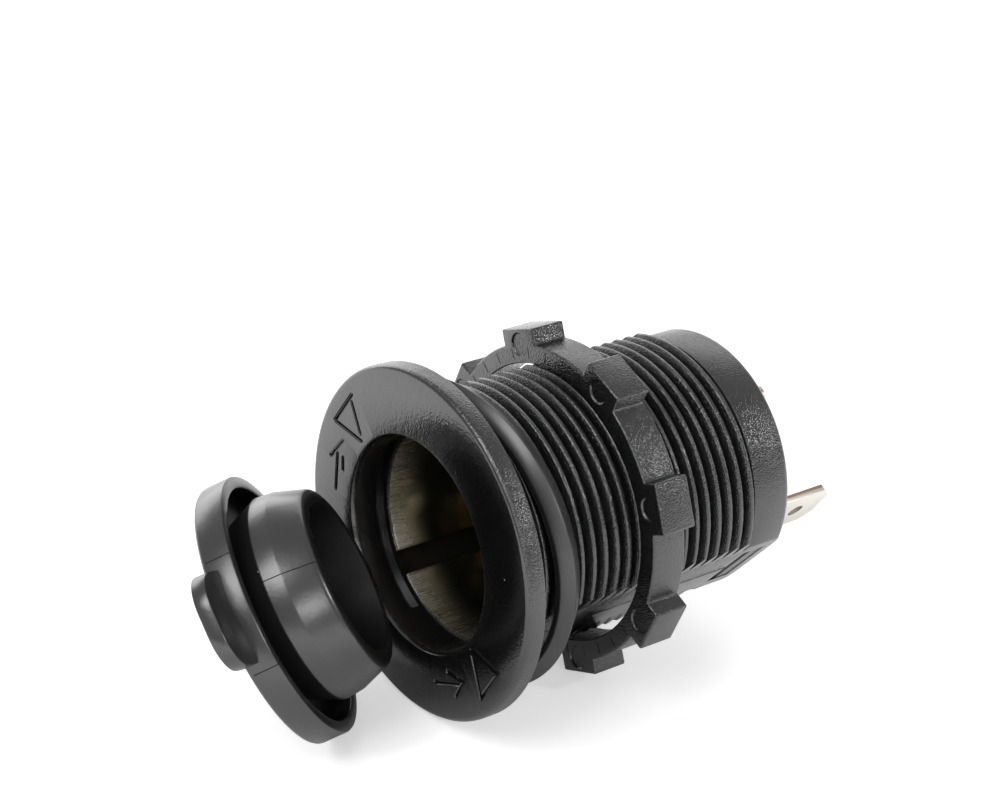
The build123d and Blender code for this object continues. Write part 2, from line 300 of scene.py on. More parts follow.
def drawn_metal(name, colour_value, stretch, roughness, height, stain):
    """Metal with fine drawn-out lines, spaced wider than real ones so that they show."""
    spacing, gloss_change = 0.12 * MM, 0.08
    material, tree = new_material(name)
    place = add(tree, "ShaderNodeTexCoord").outputs["Object"]
    lines, tone = metal_patterns(tree, place, colour_value, stretch, spacing, stain)
    gloss = add(tree, "ShaderNodeMapRange", {
        "Value": lines, "To Min": roughness - gloss_change, "To Max": roughness + gloss_change})
    metal_surface(tree, tone, gloss.outputs["Result"], lines, height)
    return material


def plated_sleeve(finishes):
    """Nickel over brass strip: a dark mirror deep inside, scratched to a warm streaky shine at its mouth.

    The scratches run along the barrel, as plugs leave them, and are drawn coarse enough to show.
    """
    worn_from, worn_to, mirror_roughness = SLEEVE_FRONT + 0.5, SLEEVE_FRONT + 4.5, 0.13
    material, tree = new_material("brass strip nickel plated")
    place = add(tree, "ShaderNodeTexCoord").outputs["Object"]
    lines, tone = metal_patterns(tree, place, finishes.sleeve, (1.0, 0.04, 1.0), 0.2 * MM, 0.8)
    spot = add(tree, "ShaderNodeSeparateXYZ", {"Vector": place})
    wear = add(tree, "ShaderNodeMapRange", {
        "Value": spot.outputs["Y"], "From Min": worn_from * MM, "From Max": worn_to * MM, "To Min": 1.0,
        "To Max": 0.0})
    scratched = add(tree, "ShaderNodeMapRange", {
        "Value": lines, "From Min": 0.3, "From Max": 0.7, "To Min": 0.2, "To Max": 0.38})
    gloss = add(tree, "ShaderNodeMix", {
        0: wear.outputs["Result"], 2: mirror_roughness, 3: scratched.outputs["Result"]}, data_type="FLOAT")
    metal_surface(tree, tone, gloss.outputs[0], lines, 0.004 * MM)
    return material


def tinned_strip(finishes):
    """Tin over brass strip: a pale soft shine with faint rolling lines along the blade."""
    return drawn_metal(
        "brass strip tinned", finishes.tin, stretch=(1.0, 0.05, 1.0), roughness=0.34, height=0.004 * MM,
        stain=0.85)


def sheared_strip(finishes):
    """Bare edge left by the punch: a coppery brown broken by short shear lines across the sheet."""
    return drawn_metal(
        "brass strip sheared edge", finishes.sheared, stretch=(0.2, 1.0, 0.2), roughness=0.45,
        height=0.03 * MM, stain=0.55)


def turned_brass(finishes):
    """Headed brass wire: bright yellow with fine turning marks."""
    return drawn_metal(
        "brass headed bright", finishes.brass, stretch=(0.1, 1.0, 0.1), roughness=0.28, height=0.004 * MM,
        stain=0.75)


def turned(angle):
    """Turns what lies on the +X side by an angle in degrees, from +X towards +Z."""
    return Matrix.Rotation(-math.radians(angle), 4, "Y")


def on_face(radius, angle, level):
    """A point, in metres, from millimetres of radius and level and degrees round the barrel."""
    return turned(angle) @ Vector((radius * MM, level * MM, 0))


def clean(bm):
    """Merges doubled vertices and points every face outwards."""
    bmesh.ops.remove_doubles(bm, verts=bm.verts, dist=1e-7)
    bmesh.ops.recalc_face_normals(bm, faces=bm.faces)


def wire(bm, outline):
    """A closed outline of radius against level, in millimetres, on the +X side."""
    corners = [bm.verts.new((radius * MM, level * MM, 0)) for radius, level in outline]
    edges = [bm.edges.new((corners[i - 1], corners[i])) for i in range(len(corners))]
    return corners, edges


def spun(outline, steps=ROUND_STEPS):
    """A closed outline spun a full turn round the barrel's axis."""
    bm = bmesh.new()
    corners, edges = wire(bm, outline)
    bmesh.ops.spin(bm, geom=corners + edges, cent=(0, 0, 0), axis=(0, 1, 0), dvec=(0, 0, 0), angle=math.tau,
                   steps=steps, use_merge=True)
    clean(bm)
    return bm


def swept(bm, outlines, start, sweep, steps, rise=0.0):
    """Closed outlines spun part of a turn from a start angle, rising evenly along the barrel."""
    corners, edges = [], []
    for outline in outlines:
        more_corners, more_edges = wire(bm, outline)
        corners += more_corners
        edges += more_edges
    bmesh.ops.transform(bm, matrix=turned(start), verts=corners)
    bmesh.ops.spin(bm, geom=corners + edges, cent=(0, 0, 0), axis=(0, -1, 0), dvec=(0, rise * MM / steps, 0),
                   angle=math.radians(sweep), steps=steps)


def close_ends(bm):
    """Fills every open loop and points the faces outwards."""
    rims = [edge for edge in bm.edges if edge.is_boundary]
    bmesh.ops.holes_fill(bm, edges=rims, sides=0)
    bmesh.ops.recalc_face_normals(bm, faces=bm.faces)


def soften(bm, edges, offset, segments=3):
    """Rounds edges by an offset in metres."""
    bmesh.ops.bevel(bm, geom=edges, offset=offset, offset_type="OFFSET", segments=segments, profile=0.5,
                    affect="EDGES", clamp_overlap=True, material=-1)


def circle_edges(bm, radius, level):
    """The edges of one circle round the barrel, by its radius and level in millimetres."""
    slack = 0.004

    def on_circle(vert):
        off_radius = math.hypot(vert.co.x, vert.co.z) / MM - radius
        return abs(off_radius) < slack and abs(vert.co.y / MM - level) < slack

    return [edge for edge in bm.edges if all(on_circle(vert) for vert in edge.verts)]


def round_circles(bm, circles):
    """Rounds circles given as radius, level and rounding in millimetres, the large ones in more steps."""
    for radius, level, rounding in circles:
        soften(bm, circle_edges(bm, radius, level), rounding * MM, 4 if rounding > 0.3 else 2)


def corner_edges(bm, least_angle):
    """Edges whose faces meet at more than an angle in degrees."""
    return [edge for edge in bm.edges
            if len(edge.link_faces) == 2 and edge.calc_face_angle(0.0) > math.radians(least_angle)]


def block(bm, x_span, y_span, z_span, angle=0.0):
    """A box between limits in millimetres on the +X side, turned round the barrel."""
    spans = (x_span, y_span, z_span)
    centre = Vector([(low + high) / 2 for low, high in spans]) * MM
    size = [(high - low) * MM for low, high in spans]
    place = turned(angle) @ Matrix.Translation(centre) @ Matrix.Diagonal((*size, 1.0))
    return bmesh.ops.create_cube(bm, size=1.0, matrix=place)["verts"]


def edges_of(verts, direction):
    """Edges among some vertices that run along a direction."""
    chosen = set(verts)
    edges = dict.fromkeys(
        edge for vert in verts for edge in vert.link_edges if edge.other_vert(vert) in chosen)
    return [edge for edge in edges
            if abs((edge.verts[0].co - edge.verts[1].co).normalized().dot(direction)) > 0.99]


def bar(bm, start, end, width, depth):
    """A round-ended bar between two points of a front face, narrowing towards its depth as a groove does."""
    taper = 0.5
    run = end - start
    place = Matrix.Translation((start + end) / 2) @ Matrix.Rotation(-math.atan2(run.z, run.x), 4, "Y")
    size = Matrix.Diagonal((run.length + width, 2 * depth, width, 1.0))
    verts = bmesh.ops.create_cube(bm, size=1.0, matrix=place @ size)["verts"]
    before = set(bm.verts) - set(verts)
    soften(bm, edges_of(verts, Vector((0, 1, 0))), width * 0.48, 5)
    bottom = [vert for vert in bm.verts if vert not in before and vert.co.y > start.y]
    slim = Matrix.Diagonal(((run.length + taper * width) / (run.length + width), 1.0, taper, 1.0))
    bmesh.ops.transform(bm, matrix=place @ slim @ place.inverted(), verts=bottom)


def peg(bm, centre, diameter, depth, slope=0.0):
    """A round peg that reaches its depth each way along the barrel and narrows backwards by its slope."""
    place = Matrix.Translation(centre) @ Matrix.Rotation(math.pi / 2, 4, "X")
    bmesh.ops.create_cone(bm, cap_ends=True, segments=32, radius1=diameter / 2 - slope * depth,
                          radius2=diameter / 2 + slope * depth, depth=2 * depth, matrix=place)


def mesh_object(name, bm, materials=()):
    """An object made from a bmesh, which is freed."""
    mesh = bpy.data.meshes.new(name)
    for material in materials:
        mesh.materials.append(material)
    bm.to_mesh(mesh)
    bm.free()
    piece = bpy.data.objects.new(name, mesh)
    bpy.context.scene.collection.objects.link(piece)
    return piece


def carve(piece, cutter, operation="DIFFERENCE", crossing=False):
    """Cuts a bmesh out of a piece, or joins it to the piece; crossing says that the cutter's bars overlap."""
    tool = mesh_object("cutter", cutter)
    change = piece.modifiers.new("carve", "BOOLEAN")
    change.operation = operation
    change.solver = "EXACT"
    change.use_self = crossing
    change.object = tool
    graph = bpy.context.evaluated_depsgraph_get()
    carved = bpy.data.meshes.new_from_object(piece.evaluated_get(graph), depsgraph=graph)
    if len(carved.polygons) < 4:
        raise RuntimeError(f"{piece.name} was lost in a cut")
    piece.modifiers.remove(change)
    spent = (piece.data, tool.data)
    piece.data = carved
    bpy.data.objects.remove(tool)
    for mesh in spent:
        bpy.data.meshes.remove(mesh)


def append(piece, bm):
    """Adds the shells of a bmesh to a piece's mesh."""
    extra = bpy.data.meshes.new("extra")
    bm.to_mesh(extra)
    bm.free()
    whole = bmesh.new()
    whole.from_mesh(piece.data)
    whole.from_mesh(extra)
    whole.to_mesh(piece.data)
    whole.free()
    bpy.data.meshes.remove(extra)


def settle(piece, node, body):
    """Shades a finished piece, sets it in the place of its solid and makes it ride on its body."""
    piece.data.shade_smooth()
    piece.data.set_sharp_from_angle(angle=SHARP_ANGLE)
    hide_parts(node)
    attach(piece, body)


def thread_section(sizes, level):
    """One thread in section about its crest's level, with its foot sunk into the barrel."""
    crest = CREST_RADIUS
    root = crest - sizes.thread_depth / MM
    top = sizes.crest_width / MM / 2
    foot = top + 0.38
    flank = [(root - 0.3, foot), (root, foot), (crest - 0.14, top + 0.05), (crest - 0.05, top - 0.01),
             (crest - 0.008, top - 0.08), (crest, top - 0.12)]
    return ([(radius, level - away) for radius, away in flank]
            + [(radius, level + away) for radius, away in reversed(flank)])


def thread_shells(sizes):
    """The right-hand thread on both round sides of the barrel, cut off square by the flats."""
    bm = bmesh.new()
    pitch = sizes.thread_pitch / MM
    first_level, first_angle, run_in, sweep = 1.5, 32.5, 18.8, 142.4
    fall = pitch * sweep / 360.0
    for flat in FLAT_ANGLES:
        start = flat + run_in
        levels = [first_level + pitch * (turn - (start - first_angle) / 360.0) for turn in range(21)]
        # Ridges that would run into the flange or the collar are left off
        kept = [level for level in levels if level - fall > 0.9 and level < COLLAR_FRONT - 0.8]
        swept(bm, [thread_section(sizes, level) for level in kept], start, sweep, 64, -fall)
    for flat in FLAT_ANGLES:
        outward = turned(flat) @ Vector((1, 0, 0))
        bmesh.ops.bisect_plane(bm, geom=bm.verts[:] + bm.edges[:] + bm.faces[:], dist=1e-8,
                               plane_co=outward * FLAT_DISTANCE * MM, plane_no=outward, clear_outer=True)
    close_ends(bm)
    return bm


class SOCKET_OT_housing(Operator):
    """Models the flange, the threaded barrel and the collar, with the marks and latch windows"""

    bl_idname = "socket.housing"
    bl_label = "Housing"

    def execute(self, context):
        sizes = context.scene.socket_sizes
        finishes = context.scene.socket_finishes
        mouth, pocket, root, collar = 10.95, 11.25, CREST_RADIUS - sizes.thread_depth / MM, 13.55
        front = FLANGE_FRONT
        bm = spun([
            (mouth + 0.2, front), (FLANGE_RADIUS, front), (FLANGE_RADIUS, 0), (root, 0), (root, COLLAR_FRONT),
            (collar, COLLAR_FRONT), (collar, BARREL_END), (pocket, BARREL_END), (pocket, SLEEVE_FRONT),
            (mouth, SLEEVE_FRONT), (mouth, front + 0.85)])
        round_circles(bm, [
            (FLANGE_RADIUS, front, 0.55), (FLANGE_RADIUS, 0, 0.25), (mouth + 0.2, front, 0.12),
            (collar, COLLAR_FRONT, 0.12), (collar, BARREL_END, 0.8), (pocket, BARREL_END, 0.2)])
        for face in bm.faces:
            middle = face.calc_center_median()
            reach = math.hypot(middle.x, middle.z) / MM
            on_rim = reach > FLANGE_RADIUS - 0.2
            on_barrel = reach > pocket + 0.2 and middle.y > 0.05 * MM
            face.material_index = 1 if on_rim or on_barrel else 0
        piece = mesh_object("housing_moulding", bm, (satin_nylon(finishes), grained_nylon(finishes)))

        flats = bmesh.new()
        for angle in FLAT_ANGLES:
            block(flats, (FLAT_DISTANCE, 20), (0.02, BARREL_END + 1), (-18, 18), angle)
        for face in flats.faces:
            face.material_index = 1
        carve(piece, flats)

        entry_angles, half_entry, groove_sweep = (142.0, -38.0), 2.1, 106.0
        floor, low, high = mouth + 0.7, front + 2.75, front + 3.9
        entries = bmesh.new()
        for angle in entry_angles:
            block(entries, (0, floor), (front - 1, high), (-half_entry, half_entry), angle)
        carve(piece, entries)
        for angle in entry_angles:
            groove = bmesh.new()
            swept(groove, [[(mouth - 1, low), (floor, low), (floor, high), (mouth - 1, high)]], angle,
                  groove_sweep, 60)
            close_ends(groove)
            carve(piece, groove)

        # A wide shallow pass and a narrow deep one give each stroke a worn shoulder
        for width, depth in ((1.25 * sizes.mark_width, 0.3 * sizes.mark_depth),
                             (0.75 * sizes.mark_width, sizes.mark_depth)):
            marks = bmesh.new()
            for (radius, angle), (end_radius, end_angle) in MARK_STROKES:
                bar(marks, on_face(radius, angle, front), on_face(end_radius, end_angle, front), width, depth)
            carve(piece, marks, crossing=True)

        window_front, window_back, half_window = 30.8, 33.65, 3.85
        windows = bmesh.new()
        for angle in FLAT_ANGLES:
            block(windows, (9.0, CREST_RADIUS + 1), (window_front, window_back), (-half_window, half_window),
                  angle)
        for face in windows.faces:
            face.material_index = 1
        carve(piece, windows)

        # A mould line stands a little proud along the middle of each flat
        line_height, half_line = 0.04, 0.06
        lines = bmesh.new()
        for angle in FLAT_ANGLES:
            block(lines, (FLAT_DISTANCE - 0.3, FLAT_DISTANCE + line_height), (0.2, window_front),
                  (-half_line, half_line), angle)
        for shells in (thread_shells(sizes), lines):
            for face in shells.faces:
                face.material_index = 1
            append(piece, shells)
        settle(piece, "housing", "socket")
        return {"FINISHED"}


class SOCKET_OT_ring_nut(Operator):
    """Models the ring nut with its square lugs, ticks and ejector marks"""

    bl_idname = "socket.ring_nut"
    bl_label = "Ring nut"

    def execute(self, context):
        sizes = context.scene.socket_sizes
        finishes = context.scene.socket_finishes
        lugs, first, half_lug, ring, reach = 8, 22.5, 2.6, 16.4, 17.9
        bore, chamfer = CREST_RADIUS + 0.1, 0.12
        half_angle = math.degrees(math.asin(half_lug / ring))
        gap = 360.0 / lugs - 2 * half_angle
        bm = bmesh.new()
        corner = bm.verts.new(on_face(ring, first + half_angle, NUT_FRONT))
        made = bmesh.ops.spin(bm, geom=[corner], cent=(0, 0, 0), axis=(0, -1, 0), dvec=(0, 0, 0),
                              angle=math.radians(gap), steps=12)
        last = [item for item in made["geom_last"] if isinstance(item, bmesh.types.BMVert)][0]
        lug = turned(first + 360.0 / lugs)
        near = bm.verts.new(lug @ Vector((reach * MM, NUT_FRONT * MM, -half_lug * MM)))
        far = bm.verts.new(lug @ Vector((reach * MM, NUT_FRONT * MM, half_lug * MM)))
        foot = bm.verts.new(on_face(ring, first + 360.0 / lugs + half_angle, NUT_FRONT))
        for pair in ((last, near), (near, far), (far, foot)):
            bm.edges.new(pair)
        bmesh.ops.spin(bm, geom=bm.verts[:] + bm.edges[:], cent=(0, 0, 0), axis=(0, -1, 0), dvec=(0, 0, 0),
                       angle=math.tau, steps=lugs, use_duplicate=True)
        bmesh.ops.remove_doubles(bm, verts=bm.verts, dist=1e-6)
        bmesh.ops.contextual_create(bm, geom=bm.edges[:])
        made = bmesh.ops.extrude_face_region(bm, geom=bm.faces[:])
        raised = [item for item in made["geom"] if isinstance(item, bmesh.types.BMVert)]
        bmesh.ops.translate(bm, vec=(0, (NUT_BACK - NUT_FRONT) * MM, 0), verts=raised)
        clean(bm)
        soften(bm, corner_edges(bm, 25), sizes.nut_edge, 3)
        piece = mesh_object("ring_nut_moulding", bm, (grained_nylon(finishes),))

        flare = bore + chamfer + 1
        hole = spun([(0, NUT_FRONT - 1), (flare, NUT_FRONT - 1), (bore, NUT_FRONT + chamfer),
                     (bore, NUT_BACK - chamfer), (flare, NUT_BACK + 1), (0, NUT_BACK + 1)])
        carve(piece, hole)
        first_tick, tick_inner, tick_outer, tick_width, tick_depth = first + 5.0, 14.9, 15.95, 0.16, 0.12
        cuts = bmesh.new()
        for index in range(sizes.tick_count):
            angle = first_tick + index * 360.0 / sizes.tick_count
            bar(cuts, on_face(tick_inner, angle, NUT_FRONT), on_face(tick_outer, angle, NUT_FRONT),
                tick_width * MM, tick_depth * MM)
        carve(piece, cuts)
        ejector_radius, ejector_depth = 16.3, 0.16
        pegs = bmesh.new()
        for index in range(lugs):
            centre = on_face(ejector_radius, first + index * 360.0 / lugs, NUT_FRONT)
            peg(pegs, centre, sizes.ejector_diameter, ejector_depth * MM, slope=1.0)
        carve(piece, pegs)
        settle(piece, "ring_nut", "ring_nut")
        return {"FINISHED"}


class SOCKET_OT_gasket(Operator):
    """Models the bevelled rubber ring that hangs crooked on the thread"""

    bl_idname = "socket.gasket"
    bl_label = "Panel gasket"

    def execute(self, context):
        finishes = context.scene.socket_finishes
        inner, thickness, front, nod, swing = 14.65, 2.8, 1.95, 2.6, 6.5
        corners = [(inner, 0.0, 0.1), (15.3, 0.0, 0.1), (16.4, 1.0, 0.12), (15.2, thickness, 0.12),
                   (inner, thickness, 0.1)]
        bm = spun([(radius, level) for radius, level, rounding in corners])
        round_circles(bm, corners)
        middle = thickness / 2 * MM
        crooked = Matrix.Rotation(math.radians(nod), 4, "X") @ Matrix.Rotation(math.radians(swing), 4, "Z")
        place = (Matrix.Translation((0, front * MM + middle, 0)) @ crooked
                 @ Matrix.Translation((0, -middle, 0)))
        bmesh.ops.transform(bm, matrix=place, verts=bm.verts)
        piece = mesh_object("gasket_ring", bm, (gasket_rubber(finishes),))
        settle(piece, "panel_gasket", "socket")
        return {"FINISHED"}


class SOCKET_OT_cap(Operator):
    """Models the rubber cap with its skirt, hollow plug, finger tab and mould lines"""

    bl_idname = "socket.cap"
    bl_label = "Cap"

    def execute(self, context):
        sizes = context.scene.socket_sizes
        finishes = context.scene.socket_finishes
        back, web, plug_end, skirt, rim_inner, neck, core = -3.1, -1.8, 6.4, 13.55, 12.3, 9.4, 7.75
        bm = spun([
            (0, back), (skirt, back), (skirt, 0), (rim_inner, 0), (rim_inner, web), (neck, web), (10.65, 1.2),
            (10.45, 3.0), (9.25, plug_end), (core, plug_end), (core, web), (0, web)])
        round_circles(bm, [
            (skirt, back, 0.5), (skirt, 0, 0.2), (rim_inner, 0, 0.15), (rim_inner, web, 0.3),
            (neck, web, 0.2), (10.65, 1.2, 0.12), (10.45, 3.0, 0.12), (9.25, plug_end, 0.6),
            (core, plug_end, 0.3), (core, web, 0.4)])
        half_seam = sizes.seam_width / 2
        # Mould lines by their angle, their least and greatest radius and their least and greatest level
        seams = ((56.6, 11.5, 14.5, -2.3, 0.5), (7.4, 11.5, 14.5, -2.3, 0.5), (43.0, 8.3, 11.5, -0.5, 6.2))
        creases = []
        for angle, low_radius, high_radius, low, high in seams:
            place = turned(angle)
            across = place @ Vector((0, 0, 1))
            outward = place @ Vector((1, 0, 0))

            def in_band(face):
                middle = face.calc_center_median()
                reach = middle.dot(outward) / MM
                return (low_radius < reach < high_radius and low < middle.y / MM < high
                        and abs(middle.dot(across)) < 0.8 * MM)

            for side in (-half_seam, half_seam):
                band = [face for face in bm.faces if in_band(face)]
                geom = dict.fromkeys(item for face in band for item in [face, *face.edges, *face.verts])
                bmesh.ops.bisect_plane(bm, geom=list(geom), dist=1e-8, plane_co=across * side,
                                       plane_no=across)
            creases += [face for face in bm.faces if in_band(face)
                        and abs(face.calc_center_median().dot(across)) < half_seam]
        # The plug's hollow and the groove inside the skirt take the core rubber, whose halved colour is
        # painted shade
        for face in bm.faces:
            middle = face.calc_center_median()
            reach = math.hypot(middle.x, middle.z) / MM
            in_plug = reach < core + 0.1 and middle.y > back * 0.9 * MM
            in_skirt = neck + 0.1 < reach < rim_inner + 0.02 and middle.y < 0
            face.material_index = 2 if in_plug or in_skirt else 0
        for face in creases:
            face.material_index = 1
        materials = (cap_rubber(finishes), seam_rubber(finishes), core_rubber_painted_shade(finishes))
        piece = mesh_object("cap_moulding", bm, materials)

        # The tab's back lies a hair inside the cap's, as a join in one plane leaves creases in the shading
        tab_end, half_tab, tab_round, tab_angle = 19.2, 4.65, 3.6, 31.5
        tab = bmesh.new()
        verts = block(tab, (rim_inner - 0.6, tab_end), (back + 0.03, back + 1.5), (-half_tab, half_tab))
        tips = [edge for edge in edges_of(verts, Vector((0, 1, 0))) if edge.verts[0].co.x > skirt * MM]
        soften(tab, tips, tab_round * MM, 10)
        soften(tab, [edge for edge in corner_edges(tab, 60)
                     if min(vert.co.x for vert in edge.verts) > rim_inner * MM], 0.15 * MM, 2)
        bmesh.ops.transform(tab, matrix=turned(tab_angle), verts=tab.verts)
        carve(piece, tab, "UNION")

        aside, ahead, swing, nod = -4.05, FLANGE_FRONT - 11.6, -34.2, 29.9
        lean = Matrix.Rotation(math.radians(swing), 4, "Z") @ Matrix.Rotation(math.radians(nod), 4, "X")
        piece.data.transform(lean)
        lowest = min(vert.co.z for vert in piece.data.vertices)
        piece.data.transform(Matrix.Translation((aside * MM, ahead * MM, cad_low[2] - lowest)))
        settle(piece, "cap", "socket")
        return {"FINISHED"}


class SOCKET_OT_contact_sleeve(Operator):
    """Models the rolled contact sleeve with its open seam and turned-in foot"""

    bl_idname = "socket.contact_sleeve"
    bl_label = "Contact sleeve"

    def execute(self, context):
        sizes = context.scene.socket_sizes
        finishes = context.scene.socket_finishes
        inner, outer, sheet, seam_angle = 10.7, 11.2, 0.5, -138.0
        half_seam = math.degrees(math.asin(1.3 / outer))
        bm = bmesh.new()
        swept(bm, [[(inner, SLEEVE_FRONT), (outer, SLEEVE_FRONT), (outer, SLEEVE_END), (inner, SLEEVE_END)]],
              seam_angle + half_seam, 360.0 - 2 * half_seam, 160)
        close_ends(bm)
        soften(bm, corner_edges(bm, 40), sizes.sheet_edge, 2)
        piece = mesh_object("sleeve_strip", bm, (plated_sleeve(finishes),))
        foot = bmesh.new()
        block(foot, (5.2, inner + 0.2), (SLEEVE_END - sheet, SLEEVE_END), (-2.5, 2.5), TERMINAL_ANGLE)
        carve(piece, foot, "UNION")
        hole = bmesh.new()
        peg(hole, on_face(RIVET_RADIUS, TERMINAL_ANGLE, SLEEVE_END), RIVET_HOLE * MM, 1.5 * MM)
        carve(piece, hole)
        settle(piece, "contact_sleeve", "socket")
        return {"FINISHED"}


class SOCKET_OT_blades(Operator):
    """Models both blade terminals with their bent feet, holes and sheared edges"""

    bl_idname = "socket.blades"
    bl_label = "Blade terminals"

    def execute(self, context):
        finishes = context.scene.socket_finishes
        materials = (tinned_strip(finishes), sheared_strip(finishes))
        thickness, half_width, bend_round, tip_cut, edge_round = 0.8, 3.15, 0.9, 1.4, 0.07
        # Each blade by its node, its offset, its foot's end and its foot's hole: place and diameter
        for node, offset, foot_end, hole_at, hole in (
                ("positive_blade", -3.7, 3.1, 0.0, 3.5),
                ("ground_blade", 9.0, 4.7, RIVET_RADIUS, RIVET_HOLE)):
            inward = math.copysign(1.0, foot_end - offset)
            outside = offset - inward * thickness / 2
            inside = offset + inward * thickness / 2
            bm = bmesh.new()
            corners, edges = wire(bm, [
                (outside, BLADE_FOOT), (foot_end, BLADE_FOOT), (foot_end, BLADE_FOOT + thickness),
                (inside, BLADE_FOOT + thickness), (inside, BLADE_TIP), (outside, BLADE_TIP)])
            bmesh.ops.contextual_create(bm, geom=edges)
            bmesh.ops.translate(bm, vec=(0, 0, -half_width * MM), verts=corners)
            made = bmesh.ops.extrude_face_region(bm, geom=bm.faces[:])
            raised = [item for item in made["geom"] if isinstance(item, bmesh.types.BMVert)]
            bmesh.ops.translate(bm, vec=(0, 0, 2 * half_width * MM), verts=raised)
            clean(bm)
            bend = [edge for edge in edges_of(bm.verts[:], Vector((0, 0, 1)))
                    if (edge.verts[0].co - Vector((outside * MM, BLADE_FOOT * MM, 0))).xy.length < 0.01 * MM]
            soften(bm, bend, bend_round * MM, 6)
            tips = [edge for edge in edges_of(bm.verts[:], Vector((1, 0, 0)))
                    if edge.verts[0].co.y > (BLADE_TIP - 0.01) * MM]
            soften(bm, tips, tip_cut * MM, 1)
            # The punch tears the inner part of the edge bare
            torn = outside + inward * thickness * 0.55
            bmesh.ops.bisect_plane(bm, geom=bm.verts[:] + bm.edges[:] + bm.faces[:], dist=1e-8,
                                   plane_co=(torn * MM, 0, 0), plane_no=(1, 0, 0))
            for face in bm.faces:
                bare = inward * (face.calc_center_median().x / MM - torn) > 0 and abs(face.normal.z) > 0.9
                face.material_index = 1 if bare else 0
            soften(bm, corner_edges(bm, 40), edge_round * MM, 2)
            bmesh.ops.transform(bm, matrix=turned(TERMINAL_ANGLE), verts=bm.verts)
            piece = mesh_object(f"{node}_strip", bm, materials)
            holes = bmesh.new()
            peg(holes, on_face(hole_at, TERMINAL_ANGLE, BLADE_FOOT), hole * MM, 2.0 * MM)
            tip_hole, hole_radius = BLADE_TIP - 3.7, 0.9
            across = turned(TERMINAL_ANGLE) @ Matrix.Translation((offset * MM, tip_hole * MM, 0))
            bmesh.ops.create_cone(holes, cap_ends=True, segments=32, radius1=hole_radius * MM,
                                  radius2=hole_radius * MM, depth=3 * MM,
                                  matrix=across @ Matrix.Rotation(math.pi / 2, 4, "Y"))
            carve(piece, holes)
            settle(piece, node, "socket")
        return {"FINISHED"}


class SOCKET_OT_inner_parts(Operator):
    """Gives the terminal carrier, the centre contact and the rivet their finishes"""

    bl_idname = "socket.inner_parts"
    bl_label = "Carrier, stud and rivet"

    def execute(self, context):
        finishes = context.scene.socket_finishes
        brass = turned_brass(finishes)
        for node, material in (("terminal_carrier", grained_nylon(finishes)), ("centre_contact", brass),
                               ("ground_rivet", brass)):
            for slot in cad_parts[node].material_slots:
                slot.material = material
        return {"FINISHED"}


def lamp(name, power, size, place, target):
    """A soft rectangular lamp at a place, facing a target, both in metres."""
    light = bpy.data.lights.new(name, "AREA")
    light.shape = "RECTANGLE"
    light.size, light.size_y = size
    light.energy = power
    holder = bpy.data.objects.new(name, light)
    holder.location = place
    holder.rotation_euler = (Vector(target) - Vector(place)).to_track_quat("-Z", "Y").to_euler()
    bpy.context.scene.collection.objects.link(holder)


